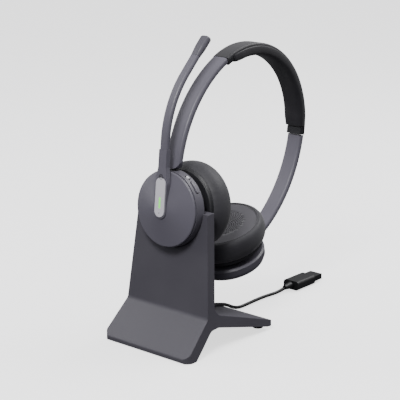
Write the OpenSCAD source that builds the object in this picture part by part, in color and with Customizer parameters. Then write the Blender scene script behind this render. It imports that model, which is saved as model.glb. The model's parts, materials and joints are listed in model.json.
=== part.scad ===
// Wireless office headset docked on a forked charging stand, with its USB charging cable.
// Millimetres. Stand front faces -Y, width along X, floor at Z = 0, headband arc in the YZ plane.
// The origin is the middle of the front foot's sole.

/* [Stand] */
// height of the crease where the front foot meets the upright
crease_z = 27.5; // [20:0.1:36]
// backward lean of the upright, degrees
lean = 5.3; // [0:0.1:12]
// thickness of the upright plate
plate_t = 7.6; // [5:0.1:12]
// reach of the front foot ahead of the crease
front_reach = 25.4; // [18:0.1:40]
// reach of the rear foot behind the crease
rear_reach = 75; // [60:0.5:95]
// half width of the stand at the crease
crease_half = 40.5; // [34:0.1:48]
// loss of half width for every millimetre of height
side_taper = 0.0865; // [0:0.0005:0.15]
// height of the cup axis along the upright
cup_z = 77.4; // [65:0.1:90]
// half width of the neck notch
notch_r = 22.3; // [18:0.1:26]
// outer radius of the two claws
claw_r = 33.4; // [29:0.1:38]

/* [Ear cup] */
// radius of the ear cup shell
shell_r = 29; // [25:0.1:34]
// depth of the ear cup shell
shell_d = 11.6; // [8:0.1:16]
// radius of the neck that drops into the notch
neck_r = 21.9; // [16:0.1:25]
// outside radius of the ear cushion
cushion_r = 33.3; // [29:0.1:38]
// height of the boss in front of the shell rim
hub_h = 6.6; // [4:0.1:10]

/* [Far cup pose] */
// lean of the far cup axis, degrees
far_lean = 70.9; // [40:0.1:90]

/* [Headband] */
// radius of the band centre line
band_r = 67.7; // [60:0.1:80]
// lean of the whole band, degrees
band_lean = 37.4; // [20:0.1:50]
// half angle of the band between its two seams
band_half = 63.5; // [50:0.5:75]
// length of each arm along its curve
arm_len = 100.5; // [85:0.5:115]
// width of the arms
arm_w = 13.8; // [10:0.1:20]
// thickness of the arms
arm_t = 5.4; // [4:0.1:8]
// how far each arm pulls out of the band
arm_travel = 18; // [10:0.5:25]

/* [Boom] */
// width of the boom arm
boom_w = 7.4; // [5:0.1:10]
// thickness of the boom arm
boom_t = 4.4; // [3:0.1:7]
// radius of the boom bend
boom_bend_r = 76; // [50:1:110]
// turning of the boom bend, degrees
boom_turn = 40; // [20:1:70]

/* [Cable] */
// diameter of the charging cable
cord_d = 2.8; // [2:0.1:4]

/* [View] */
// sub-part to show

/* [Hidden] */
$fn = 96;
crease_y = 20.5;
rim_gap = 8;
recess_d = 4;
band_y = 92.4 + crease_y;
band_z = 147.6;
near_arm_r = 98.3;
far_arm_r = 104.1;
far_extra = 1.7;
far_step = 1.5;
// point where an arm's hinge pin sits, as [y, z]; s = -1 near side, 1 far side
function turned(a) = [sin(a), cos(a)];
function long(s) = arm_len + (s > 0 ? far_extra : 0);
function arm_foot(s, r) = [band_y, band_z] + (band_r - r) * turned(band_lean + s * band_half)
    + r * turned(band_lean + s * (band_half + long(s) / r * 180 / PI));
near_foot = arm_foot(-1, near_arm_r);
far_foot = arm_foot(1, far_arm_r);
near_rim = [crease_y - rim_gap * cos(lean) + cup_z * sin(lean),
    crease_z + rim_gap * sin(lean) + cup_z * cos(lean)];
pin_y = (near_foot - near_rim) * [cos(lean), -sin(lean)];
pin_z = (near_foot - near_rim) * [sin(lean), cos(lean)];
far_y = far_foot[0] + (pin_y + far_step) * cos(far_lean) - pin_z * sin(far_lean);
far_z = far_foot[1] - (pin_y + far_step) * sin(far_lean) - pin_z * cos(far_lean);
arm_tip = 5.0;
foot_top_a = 18.4;
foot_top_b = 23.1;
tip_top = 7.2;
run_clear = 0.05;
sock_z = 30;
coil_r = 14.3;
coil_s = 4.7;
coil_y = 15.8;
coil_z = 53;
rocker_a = 48;
slider_a = 29.5;

function unit(v) = v / norm(v);
// rounds the corners of a closed outline; each point is [x, y, radius]
function soft(pts, n = 5) = [
    for (i = [0 : len(pts) - 1])
        let (p = [pts[i][0], pts[i][1]],
             a = [pts[(i + len(pts) - 1) % len(pts)][0], pts[(i + len(pts) - 1) % len(pts)][1]],
             b = [pts[(i + 1) % len(pts)][0], pts[(i + 1) % len(pts)][1]],
             r = pts[i][2],
             u = unit(a - p),
             v = unit(b - p),
             h = acos(u * v) / 2,
             c = p + unit(u + v) * r / sin(h),
             s = p + u * r / tan(h) - c,
             e = p + v * r / tan(h) - c,
             a0 = atan2(s[1], s[0]),
             d0 = atan2(e[1], e[0]) - a0,
             d = d0 > 180 ? d0 - 360 : (d0 < -180 ? d0 + 360 : d0))
            each (r == 0 ? [p] : [for (k = [0 : n]) c + r * [cos(a0 + d * k / n), sin(a0 + d * k / n)]])
];
function box_outline(w, h, r) =
    soft([[w / 2, h / 2, r], [-w / 2, h / 2, r], [-w / 2, -h / 2, r], [w / 2, -h / 2, r]], 5);

// frames
module at_crease() translate([0, crease_y, 0]) children();
module in_plate() translate([0, crease_y, crease_z]) rotate([-lean, 0, 0]) children();
module in_near_cup() in_plate() translate([0, -rim_gap, cup_z]) children();
module in_far_cup() translate([0, far_y, far_z]) rotate([-far_lean, 0, 0]) rotate([0, 0, 180]) children();
module in_band() translate([0, band_y, band_z]) rotate([-band_lean, 0, 0]) children();
// solid of revolution about the local Y axis; outline is [radius, y]
module lathe(outline) rotate([-90, 0, 0]) rotate_extrude() polygon([for (p = outline) [p[0], p[1]]]);
// outline in [y, z] swept along X
module slab(outline, half) rotate([90, 0, 90]) translate([0, 0, -half]) linear_extrude(2 * half) polygon(outline);
// drum along X through a point of the YZ plane
module drum(y, z, r, half) translate([-half, y, z]) rotate([0, 90, 0]) cylinder(r = r, h = 2 * half);
// curved bar about the X axis: outline is [x, r - radius], from angle a0 to a1 measured from +Z toward +Y
module arc_bar(outline, radius, a0, a1)
    rotate([0, 90, 0]) rotate([0, 0, 180 - max(a0, a1)]) rotate_extrude(angle = abs(a1 - a0))
        polygon([for (p = outline) [radius + p[1], p[0]]]);

// ---------- stand ----------
function side_outline() = soft([
    [-front_reach, 0, 0.8], [-front_reach, 3.4, 2.2], [0, crease_z, 5],
    [100 * tan(lean), crease_z + 100, 0], [100 * tan(lean) + plate_t, crease_z + 100, 0],
    [plate_t + 0.35, crease_z + 2, 9], [rear_reach, tip_top, 1.6], [rear_reach - 0.6, 2.6, 1.6],
    [rear_reach - 6, 3.2, 3], [11.4, 18.6, 9], [3, 18, 6], [-8.5, 6.6, 3], [-15.5, 0, 1]], 6);
module side_block() at_crease() slab(side_outline(), 50);
module front_view() {
    rise = cup_z + crease_z;
    translate([0, 120, 0]) rotate([90, 0, 0]) linear_extrude(240)
        polygon(soft([
            [-crease_half - side_taper * crease_z, 0, 0],
            [crease_half + side_taper * crease_z, 0, 0],
            [crease_half - side_taper * (rise - crease_z), rise, 0],
            [-crease_half + side_taper * (rise - crease_z), rise, 0]], 2));
}
module plan_view() at_crease() linear_extrude(160)
    polygon(soft([[-43.0, -front_reach - 0.3, 8], [43.0, -front_reach - 0.3, 8], [44.2, 0, 0], [48, 0, 0],
        [43.6, rear_reach, 4], [-43.6, rear_reach, 4], [-48, 0, 0], [-44.2, 0, 0]], 7));
// everything of the plate below the shoulders plus the two claws behind them
module plate_limits() {
    in_plate() translate([-60, -40, -40]) cube([120, 140, cup_z + 40 + 5]);
    in_plate() intersection() {
        translate([-60, recess_d, 0]) cube([120, 60, cup_z + 17]);
        union() {
            translate([0, 0, cup_z]) rotate([-90, 0, 0]) cylinder(r = claw_r, h = 60);
            translate([-60, 0, 0]) cube([120, 60, cup_z]);
        }
    }
}
module notch_cut() in_plate() {
    // neck notch, open at the top
    translate([0, -10, cup_z]) rotate([-90, 0, 0]) cylinder(r = notch_r, h = 40);
    translate([-notch_r, -10, cup_z]) cube([2 * notch_r, 40, 40]);
    // seat for the shell
    translate([0, -10, cup_z]) rotate([-90, 0, 0]) cylinder(r = shell_r + 0.5, h = 10 + recess_d);
    translate([-shell_r - 0.5, -10, cup_z]) cube([2 * shell_r + 1, 10 + recess_d, 40]);
}
module stand_body() color("#3a3840") difference() {
    intersection() {
        side_block();
        front_view();
        plan_view();
        plate_limits();
    }
    notch_cut();
    in_plate() {
        // board cavity and the ledge of its cover
        translate([-16, 3.2, 8.2]) cube([32, 2.7, 33.8]);
        translate([-17.4, 5.8, 7]) cube([34.8, 6, 36.4]);
        // contact block pocket and pin bores
        translate([-6.5, 4.6, 48.2]) cube([13, 6, 4.0]);
        for (x = [-3.5, 3.5]) translate([x, 5.8, 50]) cylinder(r = 1.1, h = 8);
        for (x = [-14, 14]) for (z = [10, 40.4])
            translate([x, 1.8, z]) rotate([-90, 0, 0]) cylinder(r = 0.9, h = 6);
    }
    at_crease() {
        // plug pocket and socket bore
        translate([-6.3, 8.4, sock_z - 3.8]) cube([12.6, 18, 7.6]);
        translate([-4.6, 2.2, sock_z - 1.8]) cube([9.2, 7, 3.6]);
        for (x = [-28, 28]) pad_space(x);
        for (x = [-32, 32]) translate([x, 70.5, -1]) cylinder(r = 4.0, h = 4.6);
    }
    ballast_space(0.15);
}
// ballast under the rear foot, in a pocket parallel to its upper face
module in_rear_foot() translate([0, crease_y + rear_reach, tip_top])
    rotate([-atan((foot_top_b - tip_top) / (rear_reach - foot_top_a)), 0, 0]) children();
module ballast_space(g) {
    in_rear_foot() translate([-30 - g, -50 - g, -4.6]) cube([60 + 2 * g, 38 + 2 * g, 2.4]);
    in_rear_foot() translate([-33 - g, -53 - g, -12]) cube([66 + 2 * g, 44 + 2 * g, 8.2]);
}
module ballast_plate() color("#8d8f92") in_rear_foot() translate([-30, -50, -3.75]) cube([60, 38, 1.5]);
module base_cover() color("#2c2b30") in_rear_foot() difference() {
    translate([-33, -53, -5.15]) cube([66, 44, 1.3]);
    for (x = [-29, 29]) for (y = [-49, -13]) translate([x, y, -6]) cylinder(r = 1.1, h = 1.4);
}
module pad_space(x) translate([x, -20.4, -0.2]) cylinder(r = 3.4, h = 1.4);
module front_pads() color("#161616") at_crease() for (x = [-28, 28])
    translate([x, -20.4, 0]) cylinder(r = 3.4, h = 1.2);
module rear_pads() color("#161616") at_crease() for (x = [-32, 32]) translate([x, 70.5, 0]) cylinder(r = 4.0, h = 3.6);
module stand_back() color("#343239") difference() {
    in_plate() translate([-17.2, 5.9, 7.2]) cube([34.4, 1.6, 36]);
    in_plate() for (x = [-14, 14]) for (z = [10, 40.4])
        translate([x, 5, z]) rotate([-90, 0, 0]) cylinder(r = 0.9, h = 4);
}
module stand_screws() color("#55565a") in_plate() for (x = [-14, 14]) for (z = [10, 40.4])
    translate([x, 1.8, z]) rotate([-90, 0, 0]) cylinder(r = 0.9, h = 5.6);
module charge_board() color("#1d5a3a") in_plate() translate([-11.5, 3.2, 10.5]) cube([23, 1.2, 30]);
module contact_block() color("#1b1b1d") in_plate() difference() {
    translate([-6.5, 4.6, 48.2]) cube([13, 2.9, 4.0]);
    for (x = [-3.5, 3.5]) translate([x, 5.8, 47]) cylinder(r = 0.8, h = 8);
}
module contact_pin(x) color("#c9a24a") in_plate() translate([x, 5.8, 49.4]) cylinder(r = 0.75, h = 6.2);
module contact_pin_left() contact_pin(-3.5);
module contact_pin_right() contact_pin(3.5);
module usb_socket() color("#a7a9ac") at_crease() difference() {
    translate([-4.6, 2.2, sock_z - 1.8]) cube([9.2, 6.0, 3.6]);
    translate([-3.7, 4.4, sock_z - 1.0]) cube([7.4, 6, 2.0]);
}

// ---------- cable ----------
module cable_plug() color("#141416") at_crease() union() {
    translate([0, 8.6, sock_z]) rotate([-90, 0, 0]) linear_extrude(17.4) polygon(box_outline(10.6, 5.6, 2.4));
    translate([-3.7, 4.6, sock_z - 1.0]) cube([7.4, 4.2, 2.0]);
}
module cable_relief() color("#141416") at_crease() translate([0, 26, sock_z]) rotate([-90, 0, 0]) difference() {
    union() {
        cylinder(r1 = 2.6, r2 = 1.95, h = 11);
        for (k = [1.5 : 2.6 : 9.5]) translate([0, 0, k]) cylinder(r = 2.75 - k * 0.055, h = 1.1);
    }
    translate([0, 0, 3]) cylinder(r = cord_d / 2, h = 9);
}
near_route = [
    [0, 30, 30], [0, 37.5, 29.9], [-3, 42.8, 29.7], [-9, 46.5, 29.4], [-17, 46, 30.5], [-24, 41.5, 33],
    [-27.5, 34, 37], [-27, 26, 41.5], [-22.6, 19.2, 45.2], [-18.2, 16.4, 49.5]];
far_route = [
    [18.2, 16.4, 49.5], [21, 18.5, 43.6], [21, 24, 36.5], [17, 32, 29], [11.5, 40, 23.6], [6, 47, 19.0],
    [1.5, 54, 16.0], [-1.4, 60.5, 13.7], [-3.2, 67, 11.5], [-4.3, 73.2, 9.5], [-4.8, 79, 7.0], [-5, 84.5, 4.2],
    [-5, 90, 2.2], [-5, 96, 1.45], [-5.2, 104, 1.4], [-5.6, 113, 1.4], [-5.8, 122, 1.4], [-5.3, 131, 1.4],
    [-4.2, 139, 1.5], [-3.2, 145, 2.2], [-2.6, 149.5, 3.1], [-2.2, 153.5, 3.6]];
// smooth point between four neighbours
function blend(a, b, c, d, t) = 0.5 * ((2 * b) + (c - a) * t + (2 * a - 5 * b + 4 * c - d) * t * t
    + (3 * b - a - 3 * c + d) * t * t * t);
function pick(p, i) = p[min(max(i, 0), len(p) - 1)];
function route(p, n) = concat([for (i = [0 : len(p) - 2]) for (k = [0 : n - 1])
    blend(pick(p, i - 1), p[i], p[i + 1], pick(p, i + 2), k / n)], [p[len(p) - 1]]);
function heading(p, i) = unit(pick(p, i + 1) - pick(p, i - 1));
function side_of(v) = unit(cross(v, abs(v[2]) > 0.9 ? [0, 1, 0] : [0, 0, 1]));
module tube(p, r, m = 8) {
    pts = [for (i = [0 : len(p) - 1]) let (t = heading(p, i), s = side_of(t), u = cross(s, t))
        for (k = [0 : m - 1]) p[i] + r * (cos((k + 0.5) * 360 / m) * s + sin((k + 0.5) * 360 / m) * u)];
    polyhedron(points = pts, faces = concat(
        [[for (k = [0 : m - 1]) k]],
        [[for (k = [0 : m - 1]) (len(p) - 1) * m + m - 1 - k]],
        [for (i = [0 : len(p) - 2]) for (k = [0 : m - 1])
            [i * m + k, (i + 1) * m + k, (i + 1) * m + (k + 1) % m, i * m + (k + 1) % m]]),
        convexity = 8);
}
module cable() color("#131314") at_crease() {
    tube(route(near_route, 2), cord_d / 2);
    tube(route(far_route, 2), cord_d / 2);
}
module cable_coil() color("#131314") translate([0, crease_y + coil_y, coil_z]) rotate([90 - lean, 0, 0])
    rotate_extrude() translate([coil_r, 0]) circle(r = coil_s, $fn = 24);
module cable_tie() color("#222225") translate([0, crease_y + coil_y, coil_z]) rotate([-lean, 0, 0])
    rotate([0, 125, 0]) translate([0, 0, coil_r]) rotate([0, 90, 0]) translate([0, 0, -3]) difference() {
        cylinder(r = coil_s + 0.75, h = 6);
        translate([0, 0, -1]) cylinder(r = coil_s + 0.05, h = 8);
    }
module cable_end_plug() color("#141416") translate([-2.2, crease_y + 150, 0]) {
    difference() {
        union() {
            translate([0, 0, 4]) rotate([-90, 0, 0]) cylinder(r1 = 2.0, r2 = 3.1, h = 9.5);
            translate([0, 9, 4]) rotate([-90, 0, 0]) linear_extrude(24) polygon(box_outline(15.6, 7.8, 2.6));
        }
        translate([0, -1, 4]) rotate([-90, 0, 0]) cylinder(r = cord_d / 2, h = 6);
        translate([-6.05, 22, 1.7]) cube([12.1, 12, 4.6]);
    }
    difference() {
        translate([-6, 22, 1.75]) cube([12, 23, 4.5]);
        translate([-5.6, 24, 3.9]) cube([11.2, 22, 1.95]);
    }
}

// ---------- ear cups ----------
module cup_shell(near) difference() {
    union() {
        lathe(concat([[0, shell_d], [27.6, shell_d], [shell_r, shell_d - 1.4]],
            near ? [[shell_r, 1.9], [26.9, 1.9], [26.9, shell_d - 2.2]]
                : [[28.6, 5.4], [26.9, 2.2], [24.9, 1.9], [24.9, 4], [26.9, 6], [26.9, shell_d - 2.2]],
            [[11, shell_d - 2.2], [11, shell_d - 4], [0, shell_d - 4]]));
        // hinge ears
        for (x = [-5.2, 5.2]) translate([x - 1.4, pin_y - 2.5, 20.5]) cube([2.8, shell_d - 2 - pin_y + 2.5, 6.8]);
    }
    // bearing hole, pin holes, window for the hinge barrel
    translate([0, -20, 0]) rotate([-90, 0, 0]) cylinder(r = 5.05, h = 60);
    translate([-3.7, pin_y - 3.9, 20.3]) cube([7.4, 8.0, 12]);
    drum(pin_y, pin_z, 1.2, 6.7);
    if (near) {
        // room for the boom's clip, volume and power openings
        translate([0, 10.65, 0]) rotate([-90, 0, 0]) cylinder(r = 7.7, h = 2);
        rotate([0, rocker_a, 0]) pill(3.6, 1.75, 24);
        rotate([0, slider_a, 0]) pill(0.9, 1.35, 24);
    }
}
// upright rounded slot in the shell wall: half spacing of its ends and their radius
module pill(half, r, z) {
    for (x = [-half, half]) translate([x, 6.35, z]) cylinder(r = r, h = 8);
    translate([-half, 6.35 - r, z]) cube([2 * half, 2 * r, 8]);
}
module cup_neck(step = 0) difference() {
    lathe([[0, shell_d + step], [neck_r, shell_d + step], [neck_r, 16.6], [20.2, 16.6], [20.2, 13.6 + step / 6],
        [0, 13.6 + step / 6]]);
    translate([0, 5, 0]) rotate([-90, 0, 0]) cylinder(r = 5.05, h = 20);
}
module cup_flange() lathe([[20.2, 16.62], [neck_r, 16.62], [23.2, 17.6], [27.8, 17.6], [shell_r, 18.4],
    [shell_r, 20.8], [27, 20.8], [27, 18.9], [20.2, 18.9]]);
module cup_baffle() difference() {
    lathe([[0, 19], [26.9, 19], [26.9, 20.6], [17, 20.6], [17, 21.6], [0, 21.6]]);
    for (a = [0 : 45 : 315]) rotate([0, a, 0]) translate([8.5, 15, 0]) rotate([-90, 0, 0]) cylinder(r = 2.2, h = 10);
    translate([0, 15, 0]) rotate([-90, 0, 0]) cylinder(r = 3, h = 10);
}
module cup_driver() lathe([[6.2, 15.2], [9, 15.2], [18.6, 17.8], [18.6, 18.9], [16.4, 18.9], [7, 16.4], [6.2, 16.4]]);
module cup_magnet() lathe([[0, 14.2], [6.1, 14.2], [6.1, 16.8], [0, 16.8]]);
module cup_cushion() lathe(soft([[0, 38, 0], [28.9, 37.8, 0], [28.9, 38.9, 0], [30.6, 38.9, 1.2], [cushion_r, 35, 4],
    [cushion_r, 27, 5], [29.2, 20.95, 0.5], [17.3, 20.95, 0], [17.3, 21.8, 0], [0, 21.8, 0]], 5));
module cup_scrim() lathe([[0, 38.05], [28.8, 37.85], [28.8, 38.6], [27.6, 39.1], [18, 39.5], [0, 39.7]]);

module near_shell() color("#45424d") in_near_cup() cup_shell(true);
module near_flange() color("#2a292e") in_near_cup() cup_flange();
module near_neck() color("#2a292e") in_near_cup() difference() {
    cup_neck();
    for (x = [-3.5, 3.5]) translate([x - 1.5, 11.0, -neck_r - 1]) cube([3, 3.6, 2.1]);
}
module near_contacts() color("#c9a24a") in_near_cup() for (x = [-3.5, 3.5])
    translate([x - 1.25, 11.7, -21.4]) cube([2.5, 2.8, 0.6]);
module near_baffle() color("#222226") in_near_cup() cup_baffle();
module near_driver() color("#5b5d61") in_near_cup() cup_driver();
module near_magnet() color("#b4b6b8") in_near_cup() cup_magnet();
module near_cushion() color("#26252a") in_near_cup() cup_cushion();
module near_scrim() color("#2d2c32") in_near_cup() cup_scrim();
module near_board() color("#1d5a3a") in_near_cup() difference() {
    lathe([[10, 5.4], [22.8, 5.4], [22.8, 6.4], [10, 6.4]]);
    translate([-12, 0, 14]) cube([24, 12, 20]);
}
module near_pin() color("#b9bbbd") in_near_cup() drum(pin_y, pin_z, 1.2, 6.5);

// ---------- boom ----------
module boom_hub() color("#45424d") in_near_cup() difference() {
    union() {
        lathe([[0, -5.9], [5, -5.9], [8, -5.5], [28.0, -0.25], [28.5, 0.3], [28.5, 1.2], [28.2, 1.5], [4.98, 1.5],
            [4.98, 10.6], [0, 10.6]]);
        // raised pad that carries the key and runs out into the boom
        rotate([90, 0, 0]) translate([0, 0, 2.2]) linear_extrude(hub_h - 2.2) polygon(soft([
            [-5.9, -6.4, 5.6], [5.9, -6.4, 5.6], [5.9, 20, 5], [boom_w / 2, 32, 8], [boom_w / 2, 45, 0],
            [-boom_w / 2, 45, 0], [-boom_w / 2, 32, 8], [-5.9, 20, 5]], 6));
    }
    // key pocket
    rotate([90, 0, 0]) translate([0, 0, 4.6]) linear_extrude(4) polygon(box_key(4.95));
    // bore for the clip screw
    translate([0, 5, 0]) rotate([-90, 0, 0]) cylinder(r = 1.2, h = 8);
}
function box_key(r) = soft([[-r, -5.3 - (r - 4.65), r - 0.01], [r, -5.3 - (r - 4.65), r - 0.01],
    [r, 24.3 + (r - 4.65), r - 0.01], [-r, 24.3 + (r - 4.65), r - 0.01]], 9);
module hub_clip() color("#8d8f92") in_near_cup() union() {
    lathe([[0, 10.75], [7.4, 10.75], [7.4, 11.5], [0, 11.5]]);
    lathe([[0, 6], [1.2, 6], [1.2, 11.5], [0, 11.5]]);
}
module boom_arm() color("#45424d") in_near_cup() {
    bar = box_outline(boom_w, boom_t, 1.9);
    cy = -hub_h + boom_t / 2;
    translate([0, cy, 45.05]) linear_extrude(6) polygon(bar);
    translate([0, cy + boom_bend_r, 51]) arc_bar([for (p = bar) [p[0], p[1]]], boom_bend_r, -90, -90 + boom_turn);
    translate([0, cy + boom_bend_r, 51]) rotate([90 - boom_turn, 0, 0]) translate([0, 0, boom_bend_r])
        rotate([-90, 0, 0]) linear_extrude(16) polygon(bar);
}
module at_mic() in_near_cup() translate([0, -hub_h + boom_t / 2 + boom_bend_r, 51]) rotate([90 - boom_turn, 0, 0])
    translate([0, 0, boom_bend_r]) rotate([-90, 0, 0]) children();
capsule_bar = box_outline(8.8, 6.2, 2.9);
module mic_capsule() color("#3b3942") at_mic() difference() {
    union() {
        hull() {
            translate([0, 0, 16.05]) linear_extrude(0.6) polygon(box_outline(boom_w, boom_t, 1.9));
            translate([0, 0, 24]) linear_extrude(0.4) polygon(capsule_bar);
        }
        translate([0, 0, 24.2]) linear_extrude(8.2) polygon(capsule_bar);
        hull() {
            translate([0, 0, 32.2]) linear_extrude(0.3) polygon(capsule_bar);
            translate([0, 0, 33.3]) linear_extrude(0.3) polygon(box_outline(7.6, 5.0, 2.3));
        }
    }
    translate([-2.6, 1.9, 25]) cube([5.2, 3, 6.4]);
}
module mic_mesh() color("#18181a") at_mic() translate([-2.5, 1.95, 25.1]) cube([5, 0.9, 6.2]);
module call_key() color("#a9a6b4") in_near_cup() difference() {
    rotate([90, 0, 0]) translate([0, 0, 5.35]) linear_extrude(1.75) polygon(box_key(4.6));
    translate([-0.85, -8, 1.4]) cube([1.7, 3, 8.2]);
}
module status_light() color("#59d36a") in_near_cup() translate([-0.8, -7.05, 1.45]) cube([1.6, 1.6, 8.1]);
module volume_rocker() color("#3b3942") in_near_cup() rotate([0, rocker_a, 0]) intersection() {
    pill(3.6, 1.4, 26.6);
    lathe([[26.9, 3], [29.75, 3], [29.75, 9], [26.9, 9]]);
}
module power_slider() color("#e8e8ea") in_near_cup() rotate([0, slider_a, 0]) intersection() {
    pill(0.45, 0.95, 26.6);
    lathe([[26.9, 3], [29.6, 3], [29.6, 9], [26.9, 9]]);
}

// ---------- headband ----------
arm_bar = box_outline(arm_w, arm_t, 2.2);
module at_seam(s) in_band() rotate([-s * band_half, 0, 0]) translate([0, 0, band_r]) children();
// s = -1 near side, 1 far side; local y runs along the arm away from the band for s = 1
module arm_solid(s, r) difference() {
    intersection() {
        in_band() rotate([-s * band_half, 0, 0]) translate([0, 0, band_r - r])
            arc_bar(arm_bar, r, s * 0.12, s * (long(s) - arm_tip) / r * 180 / PI);
        // rounded lower end
        in_band() rotate([-s * band_half, 0, 0]) translate([0, 0, band_r - r])
            rotate([-s * (long(s) - arm_tip - arm_w / 2) / r * 180 / PI, 0, 0]) translate([0, 0, r - 60]) union() {
                cylinder(r = arm_w / 2 + 0.05, h = 90);
                translate([-20, s > 0 ? -120 : 0, -60]) cube([40, 120, 150]);
            }
    }
    // channel of the steel tongue
    at_seam(s) translate([-4.8, s > 0 ? -1 : -24.5, -2.35]) cube([9.6, 25.5, 1.5]);
    // bore of the hinge post
    in_band() rotate([-s * band_half, 0, 0]) translate([0, 0, band_r - r]) rotate([-s * long(s) / r * 180 / PI, 0, 0])
        translate([0, 0, r]) rotate([s * 90, 0, 0]) cylinder(r = 1.55 + run_clear, h = 15);
}
module arm_end(s, r) in_band() rotate([-s * band_half, 0, 0]) translate([0, 0, band_r - r])
    rotate([-s * long(s) / r * 180 / PI, 0, 0]) translate([0, 0, r]) rotate([s * 90, 0, 0]) children();
module yoke(s, r) difference() {
    union() {
        arm_end(s, r) rotate([0, 90, 0]) translate([0, 0, -3.4]) cylinder(r = 2.5, h = 6.8);
        arm_end(s, r) cylinder(r = 2.3, h = 4.9);
        arm_end(s, r) cylinder(r = 1.55, h = 14);
    }
    arm_end(s, r) rotate([0, 90, 0]) translate([0, 0, -6]) cylinder(r = 1.2 + run_clear, h = 12);
}
module near_yoke() color("#232227") yoke(-1, near_arm_r);
module far_yoke() color("#232227") yoke(1, far_arm_r);
module near_arm() color("#6d6977") arm_solid(-1, near_arm_r);
module far_arm() color("#6d6977") arm_solid(1, far_arm_r);
module tongue(s) at_seam(s) translate([-4.5, s > 0 ? -12 : -24, -2.05]) cube([9, 36, 0.9]);
module near_tongue() color("#c3c5c8") tongue(-1);
module far_tongue() color("#c3c5c8") tongue(1);
collar_a = 5.4;
module collar(s) difference() {
    in_band() arc_bar(soft([[7.2, 0.6, 0.8], [-7.2, 0.6, 0.8], [-7.2, -4.3, 1.8], [7.2, -4.3, 1.8]], 4),
        band_r, s * (band_half - collar_a), s * (band_half - 0.3));
    at_seam(s) translate([-4.52, -20, -2.07]) cube([9.04, 40, 0.94]);
}
module near_collar() color("#1f1e22") collar(-1);
module far_collar() color("#1f1e22") collar(1);
module band_cover() color("#6d6977") difference() {
    in_band() arc_bar(soft([[7.4, 2.7, 1.9], [-7.4, 2.7, 1.9], [-7.4, -0.9, 0.5], [-7.0, -2.2, 0.4],
        [7.0, -2.2, 0.4], [7.4, -0.9, 0.5]], 4), band_r, -band_half + 0.3, band_half - 0.3);
    // room for the two collars
    for (s = [-1, 1]) in_band() arc_bar([[9, 0.62], [-9, 0.62], [-9, -6], [9, -6]], band_r,
        s * (band_half - collar_a - 0.05), s * (band_half + 2));
    // steel band channel
    in_band() arc_bar([[5.3, -0.7], [-5.3, -0.7], [-5.3, -1.7], [5.3, -1.7]], band_r, -band_half + 10.8, band_half - 10.8);
    for (s = [-1, 1]) at_seam(s) translate([-4.55, -13, -2.1]) cube([9.1, 26, 1.0]);
}
module band_spring() color("#b9bbbd") in_band() arc_bar([[5.2, -0.75], [-5.2, -0.75], [-5.2, -1.6], [5.2, -1.6]], band_r,
    -band_half + 11, band_half - 11);
module band_pad() color("#1c1b1f") in_band() arc_bar(soft([[7.5, 0.5, 0], [8.3, 0.5, 0.35], [9.1, -2.2, 3],
    [9.0, -5.2, 2.4], [5, -7.4, 2.4], [-5, -7.4, 2.4], [-9.0, -5.2, 2.4], [-9.1, -2.2, 3], [-8.3, 0.5, 0.35],
    [-7.5, 0.5, 0], [-7.5, -2.3, 0], [7.5, -2.3, 0]], 4), band_r, -band_half + 5.7, band_half - 5.7);

// ---------- far cup ----------
module far_shell() color("#45424d") in_far_cup() translate([0, far_step, 0]) cup_shell(false);
module far_cover() color("#45424d") in_far_cup() translate([0, far_step, 0]) lathe([[0, -1.6], [5, -1.5], [22, 0.9],
    [26, 1.7], [26.3, 1.85], [24.7, 1.85], [24.7, 3.6], [23.2, 3.6], [23.2, 2.4], [0, 0.4]]);
module far_neck() color("#2a292e") in_far_cup() cup_neck(far_step);
module far_flange() color("#2a292e") in_far_cup() cup_flange();
module far_baffle() color("#222226") in_far_cup() cup_baffle();
module far_driver() color("#5b5d61") in_far_cup() cup_driver();
module far_magnet() color("#b4b6b8") in_far_cup() cup_magnet();
module far_cushion() color("#26252a") in_far_cup() cup_cushion();
module far_scrim() color("#2d2c32") in_far_cup() cup_scrim();
module battery() color("#9a9ca0") in_far_cup() translate([-15, 4.6, -9]) cube([30, 4.4, 18]);
module far_pin() color("#b9bbbd") in_far_cup() drum(pin_y + far_step, pin_z, 1.2, 6.5);

// ---------- output ----------
stand_body();
stand_back();
base_cover();
ballast_plate();
front_pads();
rear_pads();
charge_board();
contact_block();
contact_pin_left();
contact_pin_right();
usb_socket();
stand_screws();
cable_plug();
cable_relief();
cable();
cable_coil();
cable_tie();
cable_end_plug();
near_shell();
near_neck();
near_flange();
near_contacts();
near_baffle();
near_driver();
near_magnet();
near_cushion();
near_scrim();
near_board();
near_pin();
boom_hub();
hub_clip();
boom_arm();
mic_capsule();
mic_mesh();
call_key();
status_light();
volume_rocker();
power_slider();
near_yoke();
near_arm();
near_tongue();
band_cover();
band_spring();
band_pad();
near_collar();
far_collar();
far_tongue();
far_arm();
far_yoke();
far_shell();
far_cover();
far_neck();
far_flange();
far_baffle();
far_driver();
far_magnet();
far_cushion();
far_scrim();
battery();
far_pin();
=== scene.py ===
"""Office headset docked on its charging stand: the looks, built around the CAD frame."""
import json
import math

import bpy
import bmesh
import numpy as np
from mathutils import Matrix, Vector, geometry

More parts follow.
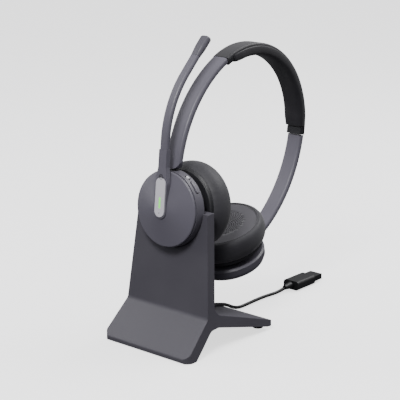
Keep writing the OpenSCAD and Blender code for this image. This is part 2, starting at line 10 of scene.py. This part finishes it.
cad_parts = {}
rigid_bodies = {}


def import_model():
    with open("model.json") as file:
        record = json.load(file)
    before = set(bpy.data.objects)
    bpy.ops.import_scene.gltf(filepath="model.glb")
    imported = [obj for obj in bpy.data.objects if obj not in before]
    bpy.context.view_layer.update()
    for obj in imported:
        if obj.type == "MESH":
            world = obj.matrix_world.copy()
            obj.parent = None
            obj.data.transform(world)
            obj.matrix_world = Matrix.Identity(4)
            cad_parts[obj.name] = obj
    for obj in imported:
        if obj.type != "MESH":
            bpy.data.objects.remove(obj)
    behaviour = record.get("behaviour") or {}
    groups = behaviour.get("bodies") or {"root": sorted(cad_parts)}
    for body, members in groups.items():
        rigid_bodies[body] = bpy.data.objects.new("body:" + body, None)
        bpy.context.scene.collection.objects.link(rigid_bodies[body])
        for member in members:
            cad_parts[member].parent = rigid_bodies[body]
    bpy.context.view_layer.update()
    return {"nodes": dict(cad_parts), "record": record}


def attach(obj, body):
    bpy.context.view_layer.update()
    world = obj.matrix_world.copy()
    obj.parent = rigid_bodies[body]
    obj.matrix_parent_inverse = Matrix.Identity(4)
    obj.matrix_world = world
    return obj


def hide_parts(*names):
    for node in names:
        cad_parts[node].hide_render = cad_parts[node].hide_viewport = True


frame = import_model()
nodes = frame["nodes"]
MM = 0.001

# ---------- the part's own frames ----------
CREASE = Vector((0, 20.5, 27.5)) * MM
LEAN, RIM_GAP, CUP_Z = math.radians(5.3), 8 * MM, 77.4 * MM
FAR_LEAN, FAR_RIM = math.radians(70.9), Vector((0, 96.932, 42.879)) * MM
BAND_C, BAND_R, BAND_LEAN = Vector((0, 112.9, 147.6)) * MM, 67.7 * MM, math.radians(37.4)
BAND_HALF = 63.5


def turn(angle, axis):
    return Matrix.Rotation(angle, 4, axis)


PLATE = Matrix.Translation(CREASE) @ turn(-LEAN, "X")
NEAR = PLATE @ Matrix.Translation((0, -RIM_GAP, CUP_Z))
FAR = Matrix.Translation(FAR_RIM) @ turn(-FAR_LEAN, "X") @ turn(math.pi, "Z")
BAND = Matrix.Translation(BAND_C) @ turn(-BAND_LEAN, "X")


# ---------- camera ----------
VIEW_AZ, VIEW_EL = math.radians(40.51), math.radians(15.44)
CAMERA_TARGET, CAMERA_DISTANCE = Vector((0, 58.9, 104.0)) * MM, 1.0546
back = Vector((math.sin(VIEW_AZ) * math.cos(VIEW_EL), -math.cos(VIEW_AZ) * math.cos(VIEW_EL),
               math.sin(VIEW_EL)))
cam_data = bpy.data.cameras.new("camera")
FOCAL_POINTS, IMAGE_POINTS, SENSOR = 1388.5, 400, 36
cam_data.lens = FOCAL_POINTS / IMAGE_POINTS * SENSOR
cam_data.sensor_width = SENSOR
cam_data.clip_start, cam_data.clip_end = 0.05, 20
camera = bpy.data.objects.new("camera", cam_data)
bpy.context.scene.collection.objects.link(camera)
camera.location = CAMERA_TARGET + back * CAMERA_DISTANCE
camera.rotation_euler = back.to_track_quat("Z", "Y").to_euler()
bpy.context.scene.camera = camera


# ---------- materials ----------
def principled(name, color, rough=0.5, metal=0.0, **extra):
    mat = bpy.data.materials.new(name)
    mat.use_nodes = True
    tree = mat.node_tree
    shader = tree.nodes["Principled BSDF"]
    shader.inputs["Base Color"].default_value = (*color[:3], 1)
    shader.inputs["Roughness"].default_value = rough
    shader.inputs["Metallic"].default_value = metal
    for key, value in extra.items():
        shader.inputs[key.replace("_", " ")].default_value = value
    return mat, tree, shader


def noise_node(tree, scale, detail=3.0, rough=0.55, stretch=None):
    coords = tree.nodes.new("ShaderNodeTexCoord")
    texture = tree.nodes.new("ShaderNodeTexNoise")
    texture.inputs["Scale"].default_value = scale
    texture.inputs["Detail"].default_value = detail
    texture.inputs["Roughness"].default_value = rough
    source = coords.outputs["Object"]
    if stretch:
        mapping = tree.nodes.new("ShaderNodeMapping")
        mapping.inputs["Scale"].default_value = stretch
        tree.links.new(source, mapping.inputs["Vector"])
        source = mapping.outputs["Vector"]
    tree.links.new(source, texture.inputs["Vector"])
    return texture


def ranged(tree, output, low, high, from_low=0.3, from_high=0.7):
    node = tree.nodes.new("ShaderNodeMapRange")
    node.inputs["From Min"].default_value = from_low
    node.inputs["From Max"].default_value = from_high
    node.inputs["To Min"].default_value = low
    node.inputs["To Max"].default_value = high
    tree.links.new(output, node.inputs["Value"])
    return node.outputs["Result"]


def tinted(tree, shader, output, dark, light):
    """Colour that wanders a little between two tones over the surface."""
    ramp = tree.nodes.new("ShaderNodeValToRGB")
    ramp.color_ramp.elements[0].position, ramp.color_ramp.elements[1].position = 0.3, 0.7
    ramp.color_ramp.elements[0].color = (*dark, 1)
    ramp.color_ramp.elements[1].color = (*light, 1)
    tree.links.new(output, ramp.inputs["Fac"])
    tree.links.new(ramp.outputs["Color"], shader.inputs["Base Color"])


def bumped(tree, shader, output, strength, distance, normal=None):
    bump = tree.nodes.new("ShaderNodeBump")
    bump.inputs["Strength"].default_value = strength
    bump.inputs["Distance"].default_value = distance
    tree.links.new(output, bump.inputs["Height"])
    if normal is not None:
        tree.links.new(normal, bump.inputs["Normal"])
    tree.links.new(bump.outputs["Normal"], shader.inputs["Normal"])
    return bump.outputs["Normal"]


def soft_edges(tree, radius):
    node = tree.nodes.new("ShaderNodeBevel")
    node.samples = 4
    node.inputs["Radius"].default_value = radius
    return node.outputs["Normal"]


def plastic(name, color, rough, grain=1.0, edge=0.0, spread=0.06, **extra):
    """Moulded plastic: fine spark-eroded grain, faint handling variation in gloss and tone."""
    mat, tree, shader = principled(name, color, rough, **extra)
    wide = noise_node(tree, 26, 4)
    tree.links.new(ranged(tree, wide.outputs["Fac"], rough - spread, rough + spread), shader.inputs["Roughness"])
    tinted(tree, shader, wide.outputs["Fac"], [c * 0.96 for c in color[:3]], [c * 1.04 for c in color[:3]])
    fine = noise_node(tree, 2600, 2)
    normal = soft_edges(tree, edge) if edge else None
    bumped(tree, shader, fine.outputs["Fac"], 0.10 * grain, 0.00006, normal)
    return mat


def metal(name, color, rough, brushed=None):
    mat, tree, shader = principled(name, color, rough, 1.0)
    fine = noise_node(tree, 900, 4, stretch=brushed)
    tree.links.new(ranged(tree, fine.outputs["Fac"], rough * 0.75, rough * 1.3), shader.inputs["Roughness"])
    bumped(tree, shader, fine.outputs["Fac"], 0.12, 0.00004)
    return mat


def rubber(name, color, rough):
    mat, tree, shader = principled(name, color, rough)
    wide = noise_node(tree, 90, 3)
    tree.links.new(ranged(tree, wide.outputs["Fac"], rough - 0.06, rough + 0.08), shader.inputs["Roughness"])
    fine = noise_node(tree, 3200, 2)
    bumped(tree, shader, fine.outputs["Fac"], 0.2, 0.00005)
    return mat


def leather(name, color, rough, pore=900, depth=0.35):
    """Protein leatherette: pebbled grain from two cell sizes, a soft sheen."""
    mat, tree, shader = principled(name, color, rough, **{"Sheen_Weight": 0.25, "Sheen_Roughness": 0.4})
    coords = tree.nodes.new("ShaderNodeTexCoord")
    cells = tree.nodes.new("ShaderNodeTexVoronoi")
    cells.feature = "SMOOTH_F1"
    cells.inputs["Scale"].default_value = pore
    cells.inputs["Smoothness"].default_value = 0.35
    tree.links.new(coords.outputs["Object"], cells.inputs["Vector"])
    wide = noise_node(tree, 60, 4)
    tinted(tree, shader, wide.outputs["Fac"], [c * 0.88 for c in color[:3]], [c * 1.12 for c in color[:3]])
    tree.links.new(ranged(tree, wide.outputs["Fac"], rough - 0.07, rough + 0.08), shader.inputs["Roughness"])
    first = bumped(tree, shader, wide.outputs["Fac"], 0.12, 0.0006)
    bumped(tree, shader, cells.outputs["Distance"], depth, 0.00012, first)
    return mat


def woven(name, color, rough=0.85, pitch=1500):
    """Fine knitted cloth: two crossed thread waves."""
    mat, tree, shader = principled(name, color, rough, **{"Sheen_Weight": 0.45, "Sheen_Roughness": 0.5})
    coords = tree.nodes.new("ShaderNodeTexCoord")
    heights = []
    for axis in ("X", "Z"):
        wave = tree.nodes.new("ShaderNodeTexWave")
        wave.bands_direction = axis
        wave.inputs["Scale"].default_value = pitch / 6.3
        wave.inputs["Distortion"].default_value = 0.6
        wave.inputs["Detail"].default_value = 1.0
        tree.links.new(coords.outputs["Object"], wave.inputs["Vector"])
        heights.append(wave.outputs["Fac"])
    cross = tree.nodes.new("ShaderNodeMath")
    cross.operation = "MULTIPLY"
    tree.links.new(heights[0], cross.inputs[0])
    tree.links.new(heights[1], cross.inputs[1])
    tinted(tree, shader, cross.outputs["Value"], [c * 0.75 for c in color[:3]], [c * 1.25 for c in color[:3]])
    bumped(tree, shader, cross.outputs["Value"], 0.5, 0.00015)
    return mat


LAV = (0.100, 0.095, 0.116)
mats = {
    "stand": plastic("stand_plastic", (0.080, 0.076, 0.092), 0.46, 1.0, 0.0006),
    "soot": plastic("soot_plastic", (0.03, 0.03, 0.034), 0.55, 1.2),
    "ballast": metal("zinc_plate", (0.42, 0.42, 0.43), 0.45),
    "pads": rubber("rubber_feet", (0.018, 0.018, 0.019), 0.75),
    "board": plastic("solder_mask", (0.012, 0.10, 0.045), 0.35, 0.6),
    "black": plastic("black_plastic", (0.016, 0.016, 0.019), 0.5, 1.0, 0.0003),
    "gold": metal("gold_plate", (0.86, 0.62, 0.26), 0.22),
    "steel": metal("spring_steel", (0.62, 0.62, 0.63), 0.28, (1, 18, 18)),
    "cable": rubber("cable_jacket", (0.010, 0.010, 0.011), 0.42),
    "tie": woven("hook_loop", (0.014, 0.014, 0.016), 0.9, 1900),
    "shell": plastic("shell_plastic", LAV, 0.42, 1.0, 0.0004),
    "arm": plastic("arm_plastic", (0.135, 0.128, 0.158), 0.40, 0.9, 0.0003),
    "pad": leather("band_leather", (0.020, 0.019, 0.023), 0.50, 1000, 0.25),
    "leather": leather("cushion_leather", (0.036, 0.035, 0.041), 0.58, 900, 0.3),
    "cloth": leather("face_leather", (0.064, 0.061, 0.071), 0.60, 1100, 0.3),
    "mesh": woven("mic_cloth", (0.010, 0.010, 0.011), 0.9, 2600),
    "key": plastic("key_plastic", (0.70, 0.68, 0.74), 0.34, 0.4, 0.0003),
    "white": plastic("white_plastic", (0.75, 0.75, 0.78), 0.35, 0.4, 0.0002),
    "magnet": metal("nickel", (0.68, 0.68, 0.70), 0.18),
    "driver": woven("driver_paper", (0.05, 0.05, 0.055), 0.8, 1200),
    "cell": metal("foil", (0.55, 0.56, 0.58), 0.32),
}
light_mat, _, light_shader = principled("status_lens", (0.10, 0.55, 0.10), 0.25)
light_shader.inputs["Emission Color"].default_value = (0.25, 1.0, 0.12, 1)
light_shader.inputs["Emission Strength"].default_value = 1.1
mats["light"] = light_mat

slot_of = {row["node"]: row["material_slot"] for row in frame["record"]["subparts"]}
for name, obj in nodes.items():
    obj.data.materials.clear()
    obj.data.materials.append(mats[slot_of[name]])


# ---------- helpers for pieces ----------
def put(name, bm_or_verts, faces=None, mat="stand", body="stand", smooth=True, matrix=None):
    mesh = bpy.data.meshes.new(name)
    if faces is None:
        bm_or_verts.to_mesh(mesh)
        bm_or_verts.free()
    else:
        mesh.from_pydata([tuple(v) for v in bm_or_verts], [], faces)
    if matrix is not None:
        mesh.transform(matrix)
    bm = bmesh.new()
    bm.from_mesh(mesh)
    bmesh.ops.recalc_face_normals(bm, faces=bm.faces)
    bm.to_mesh(mesh)
    bm.free()
    mesh.polygons.foreach_set("use_smooth", [smooth] * len(mesh.polygons))
    mesh.materials.append(mats[mat])
    obj = bpy.data.objects.new(name, mesh)
    bpy.context.scene.collection.objects.link(obj)
    if body:
        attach(obj, body)
    return obj


def lathe(outline, n, closed=False):
    """Vertices and faces of a solid of revolution about local +Y; outline is [(radius, y)]."""
    verts, faces = [], []
    rings = []
    for r, y in outline:
        if r < 1e-7:
            rings.append([len(verts)])
            verts.append((0, y, 0))
        else:
            start = len(verts)
            for k in range(n):
                a = 2 * math.pi * k / n
                verts.append((r * math.cos(a), y, r * math.sin(a)))
            rings.append(list(range(start, start + n)))
    pairs = list(zip(rings, rings[1:]))
    if closed:
        pairs.append((rings[-1], rings[0]))
    for a, b in pairs:
        for k in range(n):
            j = (k + 1) % n
            if len(a) == 1 and len(b) == 1:
                continue
            if len(a) == 1:
                faces.append((a[0], b[k], b[j]))
            elif len(b) == 1:
                faces.append((a[k], a[j], b[0]))
            else:
                faces.append((a[k], a[j], b[j], b[k]))
    return verts, faces


def tube(points, radius, m=12):
    """A round tube along points with rotation-minimising rings."""
    pts = [Vector(p) for p in points]
    heads = [(pts[min(i + 1, len(pts) - 1)] - pts[max(i - 1, 0)]).normalized() for i in range(len(pts))]
    side = heads[0].orthogonal().normalized()
    verts, faces = [], []
    for i, (p, t) in enumerate(zip(pts, heads)):
        if i:
            side = (side - t * side.dot(t)).normalized()
        up = t.cross(side)
        r = radius(i) if callable(radius) else radius
        for k in range(m):
            a = 2 * math.pi * k / m
            verts.append(p + (side * math.cos(a) + up * math.sin(a)) * r)
    for i in range(len(pts) - 1):
        for k in range(m):
            j = (k + 1) % m
            faces.append((i * m + k, i * m + j, (i + 1) * m + j, (i + 1) * m + k))
    faces.append(tuple(range(m - 1, -1, -1)))
    faces.append(tuple((len(pts) - 1) * m + k for k in range(m)))
    return verts, faces


def smooth_route(points, n):
    """The CAD cable's four-neighbour curve; before the coil it lies up to 7 mm off the CAD route."""
    p = [Vector(q) for q in points]
    pick = lambda i: p[min(max(i, 0), len(p) - 1)]
    out = []
    for i in range(len(p) - 1):
        a, b, c, d = pick(i - 1), p[i], p[i + 1], pick(i + 2)
        for k in range(n):
            t = k / n
            out.append(0.5 * (2 * b + (c - a) * t + (2 * a - 5 * b + 4 * c - d) * t * t
                              + (3 * b - a - 3 * c + d) * t ** 3))
    out.append(p[-1])
    return out


# ---------- the charging cable ----------
CORD_D = 2.8 * MM
near_route = [
    (0, 30, 30), (0, 37.5, 29.9), (-3, 42.8, 29.7), (-9, 46.5, 29.4), (-17, 46, 30.5), (-24, 41.5, 33),
    (-27.5, 34, 34), (-26, 26.5, 35), (-20.5, 20, 38.2), (-17.2, 16.8, 43.2)]
far_route = [
    (21, 18.5, 43.6), (21, 24, 36.5), (17, 32, 29), (11.5, 40, 23.6), (6, 47, 19.0),
    (1.5, 54, 16.0), (-1.4, 60.5, 13.7), (-3.2, 67, 11.5), (-4.3, 73.2, 9.5), (-4.8, 79, 7.0), (-5, 84.5, 4.2),
    (-5, 90, 2.2), (-5, 96, 1.45), (-5.2, 104, 1.4), (-5.6, 113, 1.4), (-5.8, 122, 1.4), (-5.3, 131, 1.4),
    (-4.2, 139, 1.5), (-3.2, 145, 2.2), (-2.6, 149.5, 3.1), (-2.2, 153.5, 3.6)]
COIL_C, COIL_R, COIL_SLOT = Vector((0, 15.8, 53)), 14.3, 3.3
COIL_UP = Vector((0, math.sin(LEAN), math.cos(LEAN)))
COIL_AX = Vector((0, math.cos(LEAN), -math.sin(LEAN)))
FROM, TO, SLOTS = math.radians(196), math.radians(-14 - 360 * 6), 7


def coil_points(step):
    """Turns of cable side by side in a ring: each turn moves on to the next of seven places round the bundle."""
    out = []
    count = int((FROM - TO) / math.radians(step))
    for i in range(count + 1):
        a = FROM + (TO - FROM) * i / count
        phi = (FROM - a) / SLOTS
        radial = COIL_R + COIL_SLOT * math.cos(phi)
        out.append(COIL_C + (Vector((1, 0, 0)) * math.cos(a) + COIL_UP * math.sin(a)) * radial
                   + COIL_AX * (COIL_SLOT * math.sin(phi)))
    return out


coil = coil_points(20)
route_mm = near_route + coil + far_route
AT_CREASE = Vector((0, 20.5, 0))
path = [(p + AT_CREASE) * MM for p in smooth_route(route_mm, 4)]
cord_v, cord_f = tube(path, CORD_D / 2, 12)
cord_obj = put("charging_cable", cord_v, cord_f, "cable", "stand")
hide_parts("cable", "cable_coil")


# ---------- ear cushions ----------
def rounded_profile(points, n):
    return [tuple(p[:2]) for p in smooth_route([(x, y, 0) for x, y in points], n)]


def simulate(obj, pinned, frames=16, pressure=1.5, cap=0.0005, seed_amp=0.00001, scale=10.0):
    """Puffs the piece's skin as cloth between its pinned seams, then keeps the result as a plain mesh."""
    me = obj.data
    start = np.zeros(len(me.vertices) * 3)
    me.vertices.foreach_get("co", start)
    start = start.reshape(-1, 3)
    rng = np.random.default_rng(7)
    shaken = start + rng.normal(0, seed_amp, start.shape) * (~pinned)[:, None]
    centre = start.mean(0)
    me.vertices.foreach_set("co", ((shaken - centre) * scale).ravel())
    group = obj.vertex_groups.new(name="pin")
    group.add([int(i) for i in np.nonzero(pinned)[0]], 1.0, "REPLACE")
    parent = obj.parent
    obj.parent = None
    mod = obj.modifiers.new("puff", "CLOTH")
    s = mod.settings
    s.quality = 6
    s.mass = 0.15
    s.tension_stiffness = s.compression_stiffness = 30
    s.shear_stiffness = 15
    s.bending_stiffness = 12
    s.vertex_group_mass = "pin"
    s.use_pressure = True
    s.uniform_pressure_force = pressure
    s.effector_weights.gravity = 0
    mod.collision_settings.use_collision = False
    mod.point_cache.frame_start, mod.point_cache.frame_end = 1, frames
    scene = bpy.context.scene
    for f in range(1, frames + 1):
        scene.frame_set(f)
    dg = bpy.context.evaluated_depsgraph_get()
    ev = obj.evaluated_get(dg)
    out = np.zeros(len(me.vertices) * 3)
    ev.to_mesh().vertices.foreach_get("co", out)
    ev.to_mesh_clear()
    out = out.reshape(-1, 3) / scale + centre
    move = out - start
    size = np.linalg.norm(move, axis=1)
    move *= (np.minimum(size, cap) / np.maximum(size, 1e-9))[:, None]
    obj.modifiers.remove(mod)
    obj.vertex_groups.remove(group)
    me.vertices.foreach_set("co", (start + move).ravel())
    me.update()
    scene.frame_set(1)
    obj.parent = parent
    print(obj.name, "moved up to", round(float(size.max()) * 1000, 2), "mm")


def subdivide(obj, levels=1):
    """Catmull-Clark subdivision, applied."""
    mod = obj.modifiers.new("sub", "SUBSURF")
    mod.levels = levels
    mod.render_levels = levels
    dg = bpy.context.evaluated_depsgraph_get()
    new = bpy.data.meshes.new_from_object(obj.evaluated_get(dg))
    obj.modifiers.remove(mod)
    old = obj.data
    obj.data = new
    bpy.data.meshes.remove(old)
    obj.data.polygons.foreach_set("use_smooth", [True] * len(obj.data.polygons))


AROUND = 168
SIDE = rounded_profile([(28.95, 38.6), (29.6, 39.15), (30.9, 38.7), (32.4, 36.6), (33.15, 33.4), (33.2, 30.0),
                        (32.7, 26.6), (31.2, 23.4), (29.4, 21.3), (28.2, 20.95)], 3)


def cushion(tag, matrix, body):
    outline = [(0, 38.0), (14, 38.0), (28.6, 37.8)] + SIDE + [(24, 20.95), (17.35, 20.95)]
    verts, faces = lathe([(r * MM, y * MM) for r, y in outline], AROUND)
    obj = put(tag + "_cushion_skin", verts, faces, "leather", None, matrix=matrix)
    local = np.array([matrix.inverted() @ v.co for v in obj.data.vertices]) / MM
    r = np.hypot(local[:, 0], local[:, 2])
    free = (r > 29.7) & (local[:, 1] > 22.2) & (local[:, 1] < 38.9)
    # small gathers where the skin is drawn in at the two seams
    a = np.arctan2(local[:, 2], local[:, 0])
    fold = np.sin(a * 37 + 1.3 * np.sin(a * 5)) * 0.6 + np.sin(a * 23 + 2.0) * 0.4
    near_top = np.exp(-((local[:, 1] - 37.4) / 1.6) ** 2) * (r > 29.3)
    near_low = np.exp(-((local[:, 1] - 22.8) / 1.5) ** 2) * (r > 29.0)
    push = 0.07 * fold * near_top + 0.10 * fold * near_low
    radial = np.stack([local[:, 0] / np.maximum(r, 1e-6), np.zeros_like(r), local[:, 2] / np.maximum(r, 1e-6)], 1)
    moved = local + radial * push[:, None]
    for v, q in zip(obj.data.vertices, moved * MM):
        v.co = matrix @ Vector(q)
    simulate(obj, ~free)
    subdivide(obj)
    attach(obj, body)
    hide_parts(tag + "_cushion")
    # rolled seam round the face
    ring = []
    n = 180
    for k in range(n + 1):
        a = 2 * math.pi * k / n
        ring.append(matrix @ (Vector((29.05 * math.cos(a), 39.02, 29.05 * math.sin(a))) * MM))
    verts, faces = tube(ring, 0.42 * MM, 10)
    put(tag + "_seam_roll", verts, faces[:-2], "leather", body)
    return obj


def face_panel(tag, matrix, body):
    """The ear side: soft crowned leatherette with a sunflower of small punched holes."""
    hole, wall = 0.46, 0.55
    spots = []
    golden_angle = math.pi * (3 - math.sqrt(5))
    for i in range(3, 330):
        rr = 0.97 * math.sqrt(i)
        aa = i * golden_angle
        spots.append((rr * math.cos(aa), rr * math.sin(aa)))
    crown = lambda x, z: 39.62 - 1.0 * (math.hypot(x, z) / 28.8) ** 2.6
    pts, loops = [], []
    edge_n = 144
    for k in range(edge_n):
        a = 2 * math.pi * k / edge_n
        pts.append(Vector((28.8 * math.cos(a), 28.8 * math.sin(a))))
    outer = list(range(edge_n))
    m = 8
    for x, z in spots:
        start = len(pts)
        for k in range(m):
            a = 2 * math.pi * k / m
            pts.append(Vector((x + hole * math.cos(a), z + hole * math.sin(a))))
        loops.append(list(range(start, start + m)))
    for ring_r, ring_n in ((20.0, 90), (22.5, 96), (25.0, 110), (27.3, 130)):
        for k in range(ring_n):
            a = 2 * math.pi * (k + 0.5) / ring_n
            pts.append(Vector((ring_r * math.cos(a), ring_r * math.sin(a))))
    edges = [(loop[k], loop[(k + 1) % len(loop)]) for loop in [outer] + loops for k in range(len(loop))]
    out_v, _, out_f, orig_v, _, _ = geometry.delaunay_2d_cdt(pts, edges, [], 0, 1e-4)
    back_of = {}
    for new_i, originals in enumerate(orig_v):
        for o in originals:
            back_of[o] = new_i
    hole_sets = [set(back_of[i] for i in loop) for loop in loops]
    owner = {}
    for h, s in enumerate(hole_sets):
        for v in s:
            owner[v] = h
    top_faces = [f for f in out_f if not (f[0] in owner and all(owner.get(v) == owner[f[0]] for v in f))]
    verts = [Vector((v[0], crown(v[0], v[1]), v[1])) for v in out_v]
    faces = [tuple(f) for f in top_faces]
    for loop in loops:
        ring = [back_of[i] for i in loop]
        low = len(verts)
        for i in ring:
            verts.append(verts[i] - Vector((0, wall, 0)))
        for k in range(m):
            j = (k + 1) % m
            faces.append((ring[k], ring[j], low + j, low + k))
        faces.append(tuple(low + k for k in range(m)))
    rim = [back_of[i] for i in outer]
    low = len(verts)
    for i in rim:
        verts.append(Vector((verts[i][0], 38.0, verts[i][2])))
    for k in range(edge_n):
        j = (k + 1) % edge_n
        faces.append((rim[k], rim[j], low + j, low + k))
    obj = put(tag + "_face_panel", [v * MM for v in verts], faces, "cloth", body, matrix=matrix)
    obj.data.materials.append(mats["soot"])
    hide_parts(tag + "_scrim")
    bm = bmesh.new()
    bm.from_mesh(obj.data)
    inv = matrix.inverted()
    # hole walls and floors take the near-black soot plastic: the floors stand for the dark scrim behind the face,
    # and the darkness on the hole walls is painted shade inside the holes
    for f in bm.faces:
        c = inv @ f.calc_center_median() / MM
        if math.hypot(c.x, c.z) < 19 and c.y < crown(c.x, c.z) - 0.12:
            f.material_index = 1
            f.smooth = False
    bm.to_mesh(obj.data)
    bm.free()
    return obj


for tag, matrix, body in (("near", NEAR, "near_cup"), ("far", FAR, "far_cup")):
    cushion(tag, matrix, body)
    face_panel(tag, matrix, body)


# ---------- headband pad ----------
COVER_SIDE, COLLAR_DEG = 7.53, 5.7


def band_pad():
    """Foam under leatherette: wraps the sides of the cover, crowned toward the head, thinner at both ends."""
    n_long, half_deg = 120, BAND_HALF - COLLAR_DEG
    section = rounded_profile([(0, -2.32), (4.5, -2.32), (7.3, -2.36), (7.52, -2.0), (7.52, -0.6), (7.6, 0.35),
                               (8.1, 0.5), (8.55, 0.1), (8.95, -1.4), (9.1, -3.2), (8.85, -4.9), (7.9, -6.1),
                               (6.2, -6.85), (3.4, -7.25), (0, -7.4)], 3)
    loop = section + [(-x, y) for x, y in reversed(section[1:-1])]
    m = len(loop)
    verts, faces = [], []
    for i in range(n_long + 1):
        t = -1 + 2 * i / n_long
        near_end = min(1.0, (1 - abs(t)) / 0.16)
        thick = 0.62 + 0.38 * (1 - (1 - near_end) ** 2)
        slim = 0.86 + 0.14 * (1 - (1 - near_end) ** 2)
        tuck = math.sqrt(max(0.0, 1 - (1 - min(1.0, (1 - abs(t)) / 0.012)) ** 2))
        a = math.radians(half_deg * t)
        for x, y in loop:
            depth = y if y > -2.4 else -2.35 + (y + 2.35) * (thick * (0.9 + 0.1 * tuck))
            xx = x
            if abs(x) > COVER_SIDE:
                xx = math.copysign(max(7.56, abs(x) * slim * (0.985 + 0.015 * tuck)), x)
            radius = BAND_R / MM + depth
            verts.append(Vector((xx, radius * math.sin(a), radius * math.cos(a))) * MM)
    for i in range(n_long):
        for k in range(m):
            j = (k + 1) % m
            faces.append((i * m + k, i * m + j, (i + 1) * m + j, (i + 1) * m + k))
    faces.append(tuple(range(m)))
    faces.append(tuple(n_long * m + k for k in range(m)))
    obj = put("band_pad_skin", verts, faces, "pad", None, matrix=BAND)
    local = np.array([BAND.inverted() @ v.co for v in obj.data.vertices]) / MM
    depth = np.hypot(local[:, 1], local[:, 2]) - BAND_R / MM
    ang = np.degrees(np.arctan2(local[:, 1], local[:, 2]))
    pinned = (depth > -2.6) | (np.abs(ang) > half_deg - 2.2)
    simulate(obj, pinned, pressure=1.0, cap=0.0003)
    subdivide(obj)
    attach(obj, "band")
    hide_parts("band_pad")


band_pad()


# ---------- small marks on the key ----------
def flat_ring(name, centre, r0, r1, mat, body, thick=0.05):
    outline = [(r0, 0), (r1, 0), (r1, -thick), (r0, -thick)]
    verts, faces = lathe([(r * MM, y * MM) for r, y in outline], 40, closed=True)
    return put(name, verts, faces, mat, body, smooth=False, matrix=NEAR @ Matrix.Translation(Vector(centre) * MM))


KEY_TOP = -7.1
flat_ring("key_icon_ring", (0, KEY_TOP, 25.0), 1.55, 1.95, "soot", "key")
flat_ring("key_icon_dot", (0, KEY_TOP, 25.0), 0.0001, 0.55, "soot", "key")
flat_ring("key_low_dot", (0, KEY_TOP, -2.2), 0.0001, 0.4, "soot", "key")


# ---------- floor and light ----------
floor_mat, floor_tree, floor_shader = principled("studio_floor", (0.86, 0.86, 0.87), 0.6)
floor_shader.inputs["Emission Color"].default_value = (1, 1, 1, 1)
floor_shader.inputs["Emission Strength"].default_value = 1.5
bpy.ops.mesh.primitive_plane_add(size=8, location=(0, 0.06, -0.0003))
floor = bpy.context.object
floor.name = "studio_floor"
floor.data.materials.append(floor_mat)
floor.visible_diffuse = floor.visible_glossy = False

world = bpy.data.worlds.new("studio")
bpy.context.scene.world = world
world.use_nodes = True
# a bright ceiling over dark walls, so that upward faces read lighter than upright ones
sky = world.node_tree
sky.nodes["Background"].inputs["Strength"].default_value = 1.0
sky_coords = sky.nodes.new("ShaderNodeTexCoord")
sky_split = sky.nodes.new("ShaderNodeSeparateXYZ")
sky_ramp = sky.nodes.new("ShaderNodeValToRGB")
sky_ramp.color_ramp.elements[0].position, sky_ramp.color_ramp.elements[1].position = 0.0, 0.95
sky_ramp.color_ramp.elements[0].color = (0.10, 0.10, 0.11, 1)
sky_ramp.color_ramp.elements[1].color = (0.85, 0.85, 0.87, 1)
sky.links.new(sky_coords.outputs["Generated"], sky_split.inputs["Vector"])
sky.links.new(sky_split.outputs["Z"], sky_ramp.inputs["Fac"])
sky.links.new(sky_ramp.outputs["Color"], sky.nodes["Background"].inputs["Color"])


def area(name, where, aim, size, power, color=(1, 1, 1)):
    data = bpy.data.lights.new(name, "AREA")
    data.shape = "RECTANGLE"
    data.size, data.size_y = size
    data.energy = power
    data.color = color
    obj = bpy.data.objects.new(name, data)
    bpy.context.scene.collection.objects.link(obj)
    obj.location = where
    obj.rotation_euler = (Vector(where) - Vector(aim)).to_track_quat("Z", "Y").to_euler()
    return obj


AIM = (0, 0.05, 0.1)
area("key_light", (0.30, -0.75, 1.0), AIM, (0.35, 0.35), 11.5)
area("left_fill", (-0.9, -0.3, 0.5), AIM, (0.3, 0.9), 2.6)
area("back_light", (0.25, 0.8, 0.9), AIM, (0.8, 0.4), 7.5)
